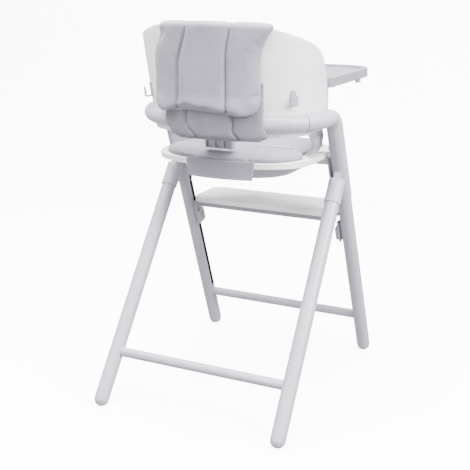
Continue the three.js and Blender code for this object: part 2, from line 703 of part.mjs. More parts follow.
function shoulderStrap() {
  const offset = -SHELL_FORM.thick - 1 - BACK_PAD.thick - 1;
  const { x, z0, z1 } = SHOULDER;
  return wallSolid(x - WEB.width / 2, x + WEB.width / 2, 2, () =>
    sheetSection(z0, z1, 3, () => offset - WEB.thick, () => offset));
}

function waistStrap() {
  const z = padTop();
  return box(58, 150, 46, 46 + WEB.width, z, z + WEB.thick);
}

function crotchStrap() {
  const z = padTop();
  return box(-WEB.width / 2 - 2, WEB.width / 2 + 2, -104, BUCKLE.y0 - GAP, z, z + WEB.thick);
}

function buckle() {
  const { halfWidth, y0, y1, height, buttonRadius } = BUCKLE;
  const z = padTop();
  const body = solid(prism(roundedRectangle(-halfWidth, halfWidth, y0, y1, 10), z, z + height, 4));
  const middle = (y0 + y1) / 2;
  const pocket = rod(vec(0, middle, z + 5), vec(0, middle, z + height + 5), buttonRadius + GAP, 20);
  return geometryOf(body.subtract(solid(pocket)));
}

function buckleButton() {
  const z = padTop();
  const middle = (BUCKLE.y0 + BUCKLE.y1) / 2;
  return rod(vec(0, middle, z + 9), vec(0, middle, z + BUCKLE.height + 2), BUCKLE.buttonRadius, 20);
}

// ---------------------------------------------------------------- footrest

function footrestBoard() {
  const { halfWidth, y0, y1, bottom, thick, corner } = STEP_BOARD;
  return prism(roundedRectangle(-halfWidth, halfWidth, y0, y1, corner), bottom, bottom + thick, 6);
}

function footrestBar() {
  const { halfWidth, y0, y1, height } = STEP_BAR;
  const top = STEP_BOARD.bottom - GAP;
  return box(-halfWidth, halfWidth, y0, y1, top - height, top);
}

function footrestBracket() {
  const { z, below, above, bossBelow, bossAbove } = STEP_ARM;
  const { radius, depth } = STEP_BUTTON;
  const plate = onLeg(FRONT, z, box(-25, -20.8, -15, 15, -below, above));
  const boss = onLeg(FRONT, z, box(-34, -21.5, -13, 13, -bossBelow, bossAbove));
  const slider = onLeg(FRONT, z, box(-21.5, -11, -5.2, 5.2, -24, 20));
  const pocket = onLeg(FRONT, z - 12, rod(vec(-40, 0, 0), vec(-34 + depth + 0.8, 0, 0), radius + GAP, 20));
  const underBar = solid(box(0, 400, -300, 300, 0, STEP_BOARD.bottom - 2 * GAP - STEP_BAR.height));
  return geometryOf(solid(plate).add(solid(boss)).add(solid(slider))
    .subtract(solid(pocket))
    .intersect(underBar));
}

function footrestButton() {
  const { radius, proud, depth } = STEP_BUTTON;
  const tip = -34 + depth - 3;
  return onLeg(FRONT, STEP_ARM.z - 12, rod(vec(-34 - proud, 0, 0), vec(tip, 0, 0), radius, 20));
}

// ---------------------------------------------------------------- soft layers on the shell

function backCushion() {
  const outer = -SHELL_FORM.thick - 1;
  const { reach, thick, bottom, top } = BACK_PAD;
  return wallSolid(-reach, reach, 16, () =>
    sheetSection(bottom, top, 5, () => outer - thick, () => outer));
}

// The lower layer leaves the shell above the ring and hangs down outside the ring.
function coverOffset(position, z) {
  const ring = ringCurve.point(position, ARM.radius + 1.5, z);
  const overRing = ring.y - wallPoint(position, z, 0).y;
  const blend = THREE.MathUtils.smoothstep(z, ARM.height + ARM.radius - 4, COVER.top + 15);
  return overRing + (1.5 - overRing) * blend;
}

function rearCover() {
  const { reach, reachBottom, thick, bottom, top } = COVER;
  const flareTop = ARM.height;
  return wallSolid(-1, 1, 14, (share) => {
    const section = [];
    const rows = 8;
    const place = (z, lift) => {
      const low = THREE.MathUtils.clamp((flareTop - z) / (flareTop - bottom), 0, 1);
      const own = share * (reach + (reachBottom - reach) * low);
      section.push([coverOffset(own, z) + lift, z, own]);
    };
    for (let j = 0; j <= rows; j += 1) {
      place(bottom + ((top - bottom) * j) / rows, thick);
    }
    for (let j = rows; j >= 0; j -= 1) {
      place(bottom + ((top - bottom) * j) / rows, 0);
    }
    return section;
  });
}

// The head pad: up the inside of the shell, over its top edge and down behind it.
function flapOffset(position, z) {
  const overCover = coverOffset(position, Math.min(z, COVER.top)) + COVER.thick + 2.5;
  const blend = THREE.MathUtils.smoothstep(z, COVER.top - 5, COVER.top + 30);
  return overCover + (1.5 - overCover) * blend;
}

function headFlap() {
  const { reachTop, reachBottom, thick, crest, bottom, innerBottom } = FLAP;
  const inner = -SHELL_FORM.thick - 1.5;
  return wallSolid(-1, 1, 18, (share) => {
    const section = [];
    const rows = 9;
    const edge = shellTop(share * reachTop) + 1.5;
    const ownAt = (z) => {
      const high = THREE.MathUtils.clamp((z - bottom) / (edge - bottom), 0, 1);
      return share * (reachBottom + (reachTop - reachBottom) * high);
    };
    const place = (offset, z) => section.push([offset, z, ownAt(z)]);
    for (let j = 0; j <= rows; j += 1) {
      const z = bottom + ((edge - bottom) * j) / rows;
      place(flapOffset(ownAt(z), z) + thick, z);
    }
    place(thick * 0.6, edge + crest * 0.75);
    place(-SHELL_FORM.thick / 2, edge + crest);
    place(inner - thick * 0.6, edge + crest * 0.75);
    place(inner - thick, edge);
    place(inner - thick, innerBottom);
    place(inner, innerBottom);
    place(inner, edge);
    for (let j = rows; j >= 0; j -= 1) {
      const z = bottom + ((edge - bottom) * j) / rows;
      place(flapOffset(ownAt(z), z), z);
    }
    return section;
  });
}

// ---------------------------------------------------------------- the chair

const chair = new THREE.Group();

function addPiece(name, geometry, look) {
  const mesh = new THREE.Mesh(geometry, new THREE.MeshStandardMaterial(COLOURS[look]));
  mesh.name = name;
  chair.add(mesh);
  return mesh;
}

// Pieces made for the left side; the right side mirrors them.
const sidePieces = [
  ['front_leg', frontLeg, 'tube'],
  ['front_foot', () => foot(FRONT), 'plastic'],
  ['slot_rail', slotRail, 'darkPlastic'],
  ['hub', hub, 'plastic'],
  ['fold_button', foldButton, 'plastic'],
  ['pivot_pin', pivotPin, 'steel'],
  ['elbow', elbow, 'plastic'],
  ['tray_rail', trayRail, 'plastic'],
  ['storage_hook', storageHook, 'plastic'],
  ['shoulder_strap', shoulderStrap, 'webbing'],
  ['rear_leg', () => legTube(REAR, SOCKET.legTop), 'tube'],
  ['rear_foot', () => foot(REAR), 'plastic'],
  ['rear_socket', rearSocket, 'plastic'],
  ['tray_latch', trayLatch, 'plastic'],
  ['seat_bracket', seatBracket, 'plastic'],
  ['seat_bolster', bolster, 'fabric'],
  ['waist_strap', waistStrap, 'webbing'],
  ['footrest_bracket', footrestBracket, 'plastic'],
  ['footrest_button', footrestButton, 'plastic'],
];

for (const [name, make, look] of sidePieces) {
  for (const [side, sign] of [['left', 1], ['right', -1]]) {
    addPiece(`${side}_${name}`, make(), look).scale.x = sign;
  }
}

addPiece('front_crossbar', crossbar(FRONT), 'tube');
addPiece('rear_crossbar', crossbar(REAR), 'tube');
addPiece('back_tube', backTube(), 'tube');
addPiece('backrest_shell', backrestShell(), 'wood');
addPiece('back_bracket', backBracket(), 'plastic');
addPiece('back_cushion', backCushion(), 'fabric');
addPiece('rear_cover', rearCover(), 'fabric');
addPiece('head_flap', headFlap(), 'fabric');
addPiece('tray_base', trayBase(), 'plastic');
addPiece('tray_insert', trayInsert(), 'plastic');
addPiece('seat_plate', seatPlate(), 'wood');
addPiece('seat_base', seatBase(), 'plastic');
addPiece('seat_cushion', seatCushion(), 'fabric');
addPiece('rear_band', rearBand(), 'fabric');
addPiece('crotch_strap', crotchStrap(), 'webbing');
addPiece('buckle', buckle(), 'plastic');
addPiece('buckle_button', buckleButton(), 'plastic');
addPiece('footrest_board', footrestBoard(), 'wood');
addPiece('footrest_bar', footrestBar(), 'plastic');

export default chair;
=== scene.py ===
import json
import math

import bmesh
import bpy
import numpy as np
from mathutils import Matrix, Vector
from mathutils.bvhtree import BVHTree


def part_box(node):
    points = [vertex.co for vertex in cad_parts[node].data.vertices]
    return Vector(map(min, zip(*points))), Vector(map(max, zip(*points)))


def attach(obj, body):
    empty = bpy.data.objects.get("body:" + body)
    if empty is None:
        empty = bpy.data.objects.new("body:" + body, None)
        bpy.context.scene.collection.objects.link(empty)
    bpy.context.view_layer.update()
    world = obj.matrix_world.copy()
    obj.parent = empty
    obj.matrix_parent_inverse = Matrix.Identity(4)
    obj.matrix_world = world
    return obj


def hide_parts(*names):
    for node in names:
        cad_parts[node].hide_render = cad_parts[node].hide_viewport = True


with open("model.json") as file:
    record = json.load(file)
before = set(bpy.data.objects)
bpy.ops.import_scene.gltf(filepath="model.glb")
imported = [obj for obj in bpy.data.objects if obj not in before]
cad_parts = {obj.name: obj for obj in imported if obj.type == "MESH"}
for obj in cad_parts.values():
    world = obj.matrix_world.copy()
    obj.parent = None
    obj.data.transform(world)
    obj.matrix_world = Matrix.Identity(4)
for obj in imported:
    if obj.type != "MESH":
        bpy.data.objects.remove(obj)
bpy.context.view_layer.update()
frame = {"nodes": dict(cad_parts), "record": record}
scene = bpy.context.scene
nodes = frame["nodes"]


# ---------------------------------------------------------------- the wall of the shell

class PlanCurve:
    """Straight sides, corner arcs and one wide back arc; positions run from the middle of the back."""

    def __init__(self, half_width, corner_y, corner_radius, back_radius):
        self.corner_x = half_width - corner_radius
        self.corner_y = corner_y
        self.corner_radius = corner_radius
        self.back_radius = back_radius
        self.back_y = corner_y - math.sqrt((back_radius - corner_radius) ** 2 - self.corner_x ** 2)
        self.tangent = math.atan2(corner_y - self.back_y, self.corner_x)
        self.back_arc = back_radius * (math.pi / 2 - self.tangent)
        self.corner_end = self.back_arc + corner_radius * self.tangent

    def point(self, position, offset, z):
        side = 1 if position >= 0 else -1
        distance = abs(position)
        if distance < self.back_arc:
            angle = math.pi / 2 - distance / self.back_radius
            radius = self.back_radius + offset
            return Vector((side * radius * math.cos(angle), self.back_y + radius * math.sin(angle), z))
        angle = max(0, self.tangent - (distance - self.back_arc) / self.corner_radius)
        radius = self.corner_radius + offset
        straight = max(0, distance - self.corner_end)
        return Vector((
            side * (self.corner_x + radius * math.cos(angle)),
            self.corner_y + radius * math.sin(angle) - straight,
            z,
        ))


def level(node, end, shift=0.0):
    """The height of a CAD node's lowest point (end 0) or highest point (end 1), plus a shift."""
    return round(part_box(node)[end][2] + shift, 4)


SHELL = PlanCurve(0.2085, 0.0816, 0.095, 0.300)
RING = PlanCurve(0.2348, 0.0377, 0.160, 0.305)
SHELL_BOTTOM = level("backrest_shell", 0)
SHELL_TOP = level("backrest_shell", 1)
SHELL_FRONT_TOP = 0.735
SHELL_RISE = 0.233
SHELL_THICK = 0.009
SHELL_FLARE = 0.13
SHELL_REACH = SHELL.corner_end + SHELL.corner_y + 0.0075
RING_RADIUS = 0.021
SEAT_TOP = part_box("seat_plate")[1][2]
CLEAR = 0.0015         # the gap that cloth keeps to the shell and the back tube
LAYER_DEPTH = 0.0105   # how far the head pad stands off the rear layer's inner face


def wall(position, z, offset):
    """The point of the shell's wall at a position round it and a height, moved outwards by an offset."""
    return SHELL.point(position, offset + SHELL_FLARE * (z - SHELL_BOTTOM), z)


def shell_top(position):
    along = min(1, abs(position) / SHELL_REACH)
    return min(SHELL_TOP, SHELL_FRONT_TOP + SHELL_RISE * (1 - along ** 2.6) ** 0.62)


def smoothstep(value, low, high):
    t = min(1, max(0, (value - low) / (high - low)))
    return t * t * (3 - 2 * t)


def cover_offset(position, z):
    """The rear layer lies on the back tube and, higher up, on the shell."""
    ring = RING.point(position, RING_RADIUS + CLEAR, z)
    over_ring = ring.y - wall(position, z, 0).y
    blend = smoothstep(z, 0.751, 0.850)
    return over_ring + (CLEAR - over_ring) * blend


def flap_offset(position, z):
    """The head pad hangs from the shell's top edge to the lower layer, then lies on that."""
    over_cover = cover_offset(position, min(z, 0.800)) + LAYER_DEPTH
    fall = min(1, max(0, (0.960 - z) / 0.160))
    return CLEAR + (over_cover - CLEAR) * fall ** 1.25


def head_seam_left(z):
    return 0.055 - 0.022 * smoothstep(z, 0.86, 0.965)


def head_seam_right(z):
    return -0.054 - 0.009 * smoothstep(z, 0.89, 0.965)


def layer_seam_left(z):
    return 0.039 - 0.024 * smoothstep(0.735 - z, 0, 0.036)


def layer_seam_right(z):
    return -0.067 - 0.012 * smoothstep(0.72 - z, 0, 0.022)


# ---------------------------------------------------------------- materials

class Nodes:
    """Short calls for building one procedural material."""

    def __init__(self, name, coords=(1, 1, 1)):
        self.material = bpy.data.materials.new(name)
        self.material.use_nodes = True
        self.tree = self.material.node_tree
        self.shader = self.tree.nodes["Principled BSDF"]
        where = self.tree.nodes.new("ShaderNodeTexCoord")
        scale = self.tree.nodes.new("ShaderNodeMapping")
        scale.inputs["Scale"].default_value = coords
        self.tree.links.new(where.outputs["Object"], scale.inputs["Vector"])
        self.vector = scale.outputs["Vector"]
        self.plain = where.outputs["Object"]

    def set(self, **values):
        for key, value in values.items():
            self.shader.inputs[key.replace("_", " ")].default_value = value

    def noise(self, scale, detail=3.0, roughness=0.5, plain=False):
        node = self.tree.nodes.new("ShaderNodeTexNoise")
        node.inputs["Scale"].default_value = scale
        node.inputs["Detail"].default_value = detail
        node.inputs["Roughness"].default_value = roughness
        self.tree.links.new(self.plain if plain else self.vector, node.inputs["Vector"])
        return node.outputs["Fac"]

    def math(self, operation, a, b=0.0):
        node = self.tree.nodes.new("ShaderNodeMath")
        node.operation = operation
        for socket, value in zip(node.inputs, (a, b)):
            if isinstance(value, (int, float)):
                socket.default_value = value
            else:
                self.tree.links.new(value, socket)
        return node.outputs[0]

    def along(self, direction):
        node = self.tree.nodes.new("ShaderNodeVectorMath")
        node.operation = "DOT_PRODUCT"
        node.inputs[1].default_value = direction
        self.tree.links.new(self.plain, node.inputs[0])
        return node.outputs["Value"]

    def weave(self, pitch):
        """Warp and weft: two crossed waves, one along X and one along Y + Z."""
        turn = 2 * math.pi / pitch
        warp = self.math("SINE", self.math("MULTIPLY", self.along((1, 0.35, 0)), turn))
        weft = self.math("SINE", self.math("MULTIPLY", self.along((0, 0.8, 1)), turn))
        return self.math("MULTIPLY", warp, weft)

    def remap(self, value, low, high, source=(0.3, 0.7)):
        node = self.tree.nodes.new("ShaderNodeMapRange")
        node.inputs["From Min"].default_value = source[0]
        node.inputs["From Max"].default_value = source[1]
        node.inputs["To Min"].default_value = low
        node.inputs["To Max"].default_value = high
        self.tree.links.new(value, node.inputs["Value"])
        return node.outputs["Result"]

    def colour(self, first, second, factor):
        node = self.tree.nodes.new("ShaderNodeMix")
        node.data_type = "RGBA"
        node.inputs[6].default_value = (*first, 1)
        node.inputs[7].default_value = (*second, 1)
        self.tree.links.new(factor, node.inputs[0])
        self.tree.links.new(node.outputs[2], self.shader.inputs["Base Color"])

    def rough(self, factor):
        self.tree.links.new(factor, self.shader.inputs["Roughness"])

    def bump(self, *layers):
        """Each layer is (height, distance in metres, strength)."""
        normal = None
        for height, distance, strength in layers:
            node = self.tree.nodes.new("ShaderNodeBump")
            node.inputs["Distance"].default_value = distance
            node.inputs["Strength"].default_value = strength
            self.tree.links.new(height, node.inputs["Height"])
            if normal is not None:
                self.tree.links.new(normal, node.inputs["Normal"])
            normal = node.outputs["Normal"]
        self.tree.links.new(normal, self.shader.inputs["Normal"])


def painted_tube():
    m = Nodes("tube_paint")
    m.colour((0.388, 0.379, 0.452), (0.438, 0.429, 0.503), m.remap(m.noise(9), 0, 1))
    m.rough(m.remap(m.noise(60, 4), 0.30, 0.44))
    m.set(Coat_Weight=0.15, Coat_Roughness=0.25)
    m.bump((m.noise(420, 2), 0.00003, 0.5))
    return m.material


def moulded_plastic(name, dark, light, roughness):
    m = Nodes(name)
    m.colour(dark, light, m.remap(m.noise(14), 0, 1))
    m.rough(m.remap(m.noise(90, 4), roughness - 0.06, roughness + 0.06))
    m.bump((m.noise(1400, 2), 0.00006, 0.6), (m.noise(35, 2), 0.0002, 0.15))
    return m.material


def turned_steel():
    m = Nodes("pin_steel", (1, 60, 60))
    m.colour((0.42, 0.42, 0.44), (0.56, 0.56, 0.58), m.remap(m.noise(30), 0, 1))
    m.rough(m.remap(m.noise(40, 5), 0.25, 0.42))
    m.set(Metallic=1.0)
    m.bump((m.noise(60, 3), 0.00003, 0.6))
    return m.material


def white_wood(name, stretch, dark, light):
    """White lacquer over wood; the grain runs along the axis that is stretched least."""
    m = Nodes(name, stretch)
    grain = m.noise(2.4, 8, 0.62)
    m.colour(dark, light, m.remap(grain, 0, 1, (0.36, 0.62)))
    m.rough(m.remap(m.noise(5, 4), 0.36, 0.52))
    m.bump((grain, 0.0004, 0.35), (m.noise(300, 2, plain=True), 0.00004, 0.3))
    return m.material


def woven_cloth(name, dark, light, pitch=0.0013):
    m = Nodes(name)
    weave = m.weave(pitch)
    thread = m.noise(260, 3, 0.6)
    mixed = m.math("ADD", m.remap(weave, 0, 0.35, (-1, 1)), m.remap(m.noise(22, 5, 0.6), 0, 0.45))
    mixed = m.math("ADD", mixed, m.remap(thread, 0, 0.25))
    m.colour(dark, light, mixed)
    m.rough(m.remap(thread, 0.84, 0.96))
    m.set(Sheen_Weight=0.25, Sheen_Roughness=0.5)
    m.bump((weave, 0.00025, 0.5), (thread, 0.0003, 0.4), (m.noise(38, 4, 0.55), 0.0012, 0.5))
    return m.material


PAINT = painted_tube()
PLASTIC = moulded_plastic("moulded_plastic", (0.390, 0.382, 0.452), (0.440, 0.431, 0.505), 0.46)
# A darker plastic for the tray. The footrest bar gets it too, as painted shade: the board above shades
# the bar.
TRAY_AND_BAR_SHADE_PLASTIC = moulded_plastic("tray_and_bar_shade_plastic", (0.245, 0.240, 0.285), (0.285, 0.279, 0.325), 0.34)
DARK_PLASTIC = moulded_plastic("dark_plastic", (0.018, 0.018, 0.022), (0.035, 0.035, 0.04), 0.5)
STEEL = turned_steel()
SHELL_WOOD = white_wood("shell_wood", (1.0, 1.0, 26.0), (0.80, 0.80, 0.795), (0.90, 0.90, 0.895))
BOARD_WOOD = white_wood("board_wood", (1.0, 26.0, 26.0), (0.82, 0.82, 0.815), (0.91, 0.91, 0.905))
CLOTH = woven_cloth("woven_cloth", (0.192, 0.184, 0.234), (0.293, 0.284, 0.348))
# A darker copy of the woven cloth, as painted shade: the rear layer hangs under the head pad and faces
# down.
CLOTH_PAINTED_SHADE = woven_cloth("woven_cloth_painted_shade", (0.130, 0.125, 0.155), (0.200, 0.194, 0.236))
WEBBING = woven_cloth("webbing", (0.24, 0.235, 0.27), (0.35, 0.345, 0.38), pitch=0.0022)
# The seams' stitching, much darker than the cloth: the dark colour is painted shade in the seam grooves.
SEAM_SHADE_THREAD = woven_cloth("thread", (0.090, 0.087, 0.108), (0.135, 0.131, 0.158), pitch=0.0006)


# ---------------------------------------------------------------- mesh helpers

def mesh_object(name, vertices, faces, material):
    mesh = bpy.data.meshes.new(name)
    mesh.from_pydata([tuple(v) for v in vertices], [], faces)
    bm = bmesh.new()
    bm.from_mesh(mesh)
    bmesh.ops.recalc_face_normals(bm, faces=bm.faces)
    bm.to_mesh(mesh)
    bm.free()
    mesh.materials.append(material)
    for polygon in mesh.polygons:
        polygon.use_smooth = True
    obj = bpy.data.objects.new(name, mesh)
    scene.collection.objects.link(obj)
    return obj


def swept(name, path, normals, width, thick, material, sides=16, across_power=0.35, up_power=0.6):
    """A bar swept along a path: its section is round, or flat with rounded edges for low powers."""
    section = []
    for k in range(sides):
        angle = 2 * math.pi * k / sides
        across, up = math.cos(angle), math.sin(angle)
        section.append((
            math.copysign(abs(across) ** across_power, across) * width / 2,
            math.copysign(abs(up) ** up_power, up) * thick / 2,
        ))
    vertices, faces = [], []
    for i, point in enumerate(path):
        ahead = path[min(i + 1, len(path) - 1)] - path[max(i - 1, 0)]
        ahead.normalize()
        side = ahead.cross(normals[i]).normalized()
        up = side.cross(ahead).normalized()
        for across, lift in section:
            vertices.append(point + side * across + up * lift)
    for i in range(len(path) - 1):
        for j in range(sides):
            a, b = i * sides + j, i * sides + (j + 1) % sides
            faces.append((a, b, b + sides, a + sides))
    faces.append(tuple(range(sides))[::-1])
    faces.append(tuple((len(path) - 1) * sides + j for j in range(sides)))
    return mesh_object(name, vertices, faces, material)


def closed_sheet(outer, inner):
    """Vertices and faces of a closed pad from two grids of points with the same shape."""
    rows, columns = len(outer), len(outer[0])
    vertices = [p for row in outer for p in row] + [p for row in inner for p in row]
    base = rows * columns
    faces = []
    for i in range(rows - 1):
        for j in range(columns - 1):
            a = i * columns + j
            faces.append((a, a + 1, a + columns + 1, a + columns))
            faces.append((base + a, base + a + columns, base + a + columns + 1, base + a + 1))
    rim = list(range(columns))
    rim += [i * columns + columns - 1 for i in range(1, rows)]
    rim += [(rows - 1) * columns + j for j in range(columns - 2, -1, -1)]
    rim += [i * columns for i in range(rows - 2, 0, -1)]
    for k, a in enumerate(rim):
        b = rim[(k + 1) % len(rim)]
        faces.append((b, a, base + a, base + b))
    return vertices, faces


def sheet_object(name, columns, steps, place, material):
    """A closed pad; place(i, j) gives the outer and the inner point of column i at step j."""
    outer, inner = [], []
    for i in range(columns + 1):
        pairs = [place(i, j) for j in range(steps + 1)]
        outer.append([pair[0] for pair in pairs])
        inner.append([pair[1] for pair in pairs])
    return mesh_object(name, *closed_sheet(outer, inner), material)


def read(mesh, attribute):
    """A vertex attribute of a mesh, one row for each vertex."""
    flat = np.empty(len(mesh.vertices) * 3)
    mesh.vertices.foreach_get(attribute, flat)
    return flat.reshape(-1, 3)


def set_points(obj, points):
    obj.data.vertices.foreach_set("co", points.reshape(-1))
    obj.data.update()


def apply_modifiers(obj):
    graph = bpy.context.evaluated_depsgraph_get()
    mesh = bpy.data.meshes.new_from_object(obj.evaluated_get(graph))
    old = obj.data
    obj.modifiers.clear()
    obj.data = mesh
    bpy.data.meshes.remove(old)


def remesh(obj, voxel):
    modifier = obj.modifiers.new("Remesh", "REMESH")
    modifier.mode = "VOXEL"
    modifier.voxel_size = voxel
    modifier.use_smooth_shade = True
    apply_modifiers(obj)


def relax(obj, times):
    modifier = obj.modifiers.new("Relax", "SMOOTH")
    modifier.iterations = times
    modifier.factor = 0.5
    apply_modifiers(obj)


def subdivide(obj):
    modifier = obj.modifiers.new("Subdivide", "SUBSURF")
    modifier.levels = 1
    modifier.render_levels = 1
    apply_modifiers(obj)


def simulate(obj, pressure):
    """Where a pad's points are after 20 frames of cloth under pressure, without gravity."""
    cloth = obj.modifiers.new("Cloth", "CLOTH")
    cloth.settings.quality = 5
    cloth.settings.mass = 0.3
    cloth.settings.tension_stiffness = 12
    cloth.settings.compression_stiffness = 12
    cloth.settings.shear_stiffness = 6
    cloth.settings.bending_stiffness = 0.4
    cloth.settings.use_pressure = True
    cloth.settings.uniform_pressure_force = pressure
    cloth.settings.shrink_min = -0.02
    cloth.settings.effector_weights.gravity = 0
    cloth.collision_settings.use_collision = False
    cloth.collision_settings.use_self_collision = False
    for number in range(1, 21):
        scene.frame_set(number)
    graph = bpy.context.evaluated_depsgraph_get()
    mesh = bpy.data.meshes.new_from_object(obj.evaluated_get(graph))
    points = read(mesh, "co")
    bpy.data.meshes.remove(mesh)
    obj.modifiers.clear()
    scene.frame_set(1)
    return points


def inflate(obj, voxel, cap, hold, pressure=4.0):
    """Fills a pad by cloth simulation. No point moves further than the cap, and hold(point) scales how
    far it moves: 0 for a point that stays where it is and 1 for one that is free."""
    remesh(obj, voxel)
    relax(obj, 2)
    start = read(obj.data, "co")
    move = simulate(obj, pressure) - start
    length = np.linalg.norm(move, axis=1, keepdims=True)
    move *= cap * np.tanh(length / cap) / np.maximum(length, 1e-9)
    move *= np.array([hold(p) for p in start])[:, None]
    set_points(obj, start + move)
    subdivide(obj)


def press(obj, amount):
    """Moves each point along its normal by amount(point, normal)."""
    points = read(obj.data, "co")
    normals = read(obj.data, "normal")
    lift = np.array([amount(p, n) for p, n in zip(points, normals)])[:, None]
    set_points(obj, points + lift * normals)


def tree_of(obj):
    mesh = obj.data
    return BVHTree.FromPolygons([v.co for v in mesh.vertices], [tuple(p.vertices) for p in mesh.polygons])


def land(tree, start, end, lift):
    """Where a ray first meets a surface, raised a little, with the surface's normal there."""
    place, normal, _, _ = tree.ray_cast(start, (end - start).normalized())
    if place is None:
        return None
    return place + normal * lift, normal


def upright_rays(seam, low, high, count, start, end):
    """Rays through the wall at evenly spaced heights, at seam(z), from one offset to another."""
    rays = []
    for k in range(count):
        z = low + (high - low) * k / (count - 1)
        rays.append((wall(seam(z), z, start), wall(seam(z), z, end)))
    return rays


def seam_thread(name, obj, rays, body):
    """The sewn line of a seam: a fine thread laid along the bottom of its groove, made dark as painted
    shade of the groove.
    """
    tree = tree_of(obj)
    hits = [land(tree, start, end, 0.0001) for start, end in rays]
    path = [hit[0] for hit in hits if hit is not None]
    normals = [Vector((0.3, 0.2, 0.93))] * len(path)
    thickness = 0.0013
    thread = swept(name, path, normals, thickness, thickness, SEAM_SHADE_THREAD, 6, 1, 1)
    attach(thread, body)


def finish_soft(obj, body, slot, *replaced, fill=0.6):
    for polygon in obj.data.polygons:
        polygon.use_smooth = True
    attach(obj, body)
    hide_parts(*replaced)
    return obj


def wall_place(point):
    """(position along the wall, offset from the shell's outer face) of a point near the back."""
    x, y, z = point
    flare = SHELL_FLARE * (z - SHELL_BOTTOM)
    angle = math.atan2(abs(x), y - SHELL.back_y)
    position = SHELL.back_radius * angle
    radius = math.hypot(x, y - SHELL.back_y)
    return math.copysign(position, x), radius - SHELL.back_radius - flare


# ---------------------------------------------------------------- the shell

def bent_shell():
    columns, rows = 150, 18
    outer, inner = [], []
    for i in range(columns + 1):
        position = SHELL_REACH * math.sin(math.pi / 2 * (2 * i / columns - 1))
        top = shell_top(position)
        heights = [SHELL_BOTTOM + (top - SHELL_BOTTOM) * j / rows for j in range(rows + 1)]
        outer.append([wall(position, z, 0) for z in heights])
        inner.append([wall(position, z, -SHELL_THICK) for z in heights])
    obj = mesh_object("shell", *closed_sheet(outer, inner), SHELL_WOOD)
    bevel = obj.modifiers.new("Bevel", "BEVEL")
    bevel.width = 0.0026
    bevel.segments = 3
    bevel.limit_method = "ANGLE"
    bevel.angle_limit = math.radians(50)
    apply_modifiers(obj)
    for polygon in obj.data.polygons:
        polygon.use_smooth = True
    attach(obj, "frame")
    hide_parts("backrest_shell")


# ---------------------------------------------------------------- soft layers on the shell

def pillow(across, along, power=4.0):
    """How full a pad is at (across, along), both from -1 to 1: 1 in the middle, small at its edges."""
    return (1 - min(1, abs(across)) ** power) ** 0.5 * (1 - min(1, abs(along)) ** (power * 2)) ** 0.5


def groove(distance, width):
    return math.exp(-((distance / width) ** 2))


def head_pad():
    """Up the inside of the shell, over its top edge and down behind it."""
    columns, steps, thick = 44, 40, 0.013
    low, inner_low = level("head_flap", 0, -0.008), 0.9455
    edge = SHELL_TOP + CLEAR
    inside = -SHELL_THICK - CLEAR

    def half_width(z):
        return 0.110 + 0.0185 * smoothstep(z, 0.745, 0.795) + 0.003 * smoothstep(z, 0.93, 0.96)

    def middle(z):
        return 0.0005 - 0.022 * smoothstep(z, 0.885, 0.972)

    outer, inner = [], []
    for i in range(columns + 1):
        share = 2 * i / columns - 1
        outer_row, inner_row = [], []
        corner = 0.009 * (max(0, abs(share) - 0.8) / 0.2) ** 2
        bottom = low + corner + 0.005 * math.cos(2.6 * (share - 0.15))
        for j in range(steps + 1):
            z = bottom + (edge - bottom) * j / steps
            position = middle(z) + share * half_width(z)
            base = flap_offset(position, z)
            full = 0.5 + 0.5 * pillow(share, min(1, 2 * j / steps - 1) if j < steps / 2 else 0)
            outer_row.append(wall(position, z, base + thick * full))
            inner_row.append(wall(position, z, base))
        position = middle(edge) + share * half_width(edge)
        full = 0.5 + 0.5 * pillow(share, 0)
        top = thick * full
        for turn in (0.2, 0.4, 0.6, 0.8):
            angle = math.pi * turn
            across = (SHELL_THICK / 2 + 0.002 + top) * math.cos(angle) - SHELL_THICK / 2
            outer_row.append(wall(position, edge + 0.75 * top * math.sin(angle), across))
            under = (SHELL_THICK / 2 + CLEAR) * math.cos(angle) - SHELL_THICK / 2
            inner_row.append(wall(position, edge + 0.0005, under))
        for j in range(5):
            z = edge + (inner_low - edge) * j / 4
            full_low = full * (1 - 0.3 * (j / 4) ** 3)
            outer_row.append(wall(position, z, inside - thick * full_low))
            inner_row.append(wall(position, z, inside))
        outer.append(outer_row)
        inner.append(inner_row)
    obj = mesh_object("head_pad", *closed_sheet(outer, inner), CLOTH)

    def hold(p):
        position, offset = wall_place(p)
        if p[2] > 0.9595:
            return 1.0
        if offset > -0.003:
            return min(1, max(0, (offset - flap_offset(position, p[2])) / 0.006))
        return min(1, (-offset - SHELL_THICK) / 0.006)

    inflate(obj, 0.0045, 0.006, pressure=5, hold=hold)

    def seams(p, n):
        position, offset = wall_place(p)
        z = p[2]
        left, right = head_seam_left(z), head_seam_right(z)
        depth = 0.0060 * (groove(position - left, 0.0034) + groove(position - right, 0.0034))
        depth += 0.0022 * (groove(position - left, 0.011) + groove(position - right, 0.011))
        sag = 0.0014 * math.sin(38 * position + 9 * z) * math.sin(31 * z + 1.3)
        near_hem = smoothstep(0.805 - z, 0, 0.04)
        pleat = 0.0011 * near_hem * math.sin(150 * position + 1.1 * math.sin(60 * z))
        face = flap_offset(position, z)
        outward_face = 1.0 if z > 0.955 else smoothstep(offset - face, 0.0025, 0.0065)
        return (-depth + sag + pleat) * outward_face

    press(obj, seams)
    for tag, seam in (("left", head_seam_left), ("right", head_seam_right)):
        rays = upright_rays(seam, 0.763, SHELL_TOP, 56, 0.09, 0.0)
        top = seam(SHELL_TOP)
        for k in range(1, 10):
            angle = math.pi * k / 10
            centre = wall(top, SHELL_TOP, -0.0045)
            far = wall(top, SHELL_TOP + 0.05 * math.sin(angle), -0.0045 + 0.06 * math.cos(angle))
            rays.append((far, centre))
        for k in range(4):
            z = 0.957 - 0.003 * k
            rays.append((wall(top, z, -0.06), wall(top, z, -0.010)))
        seam_thread(f"head_pad_{tag}_seam", obj, rays, "frame")
    finish_soft(obj, "frame", "fabric", "head_flap", fill=0.55)


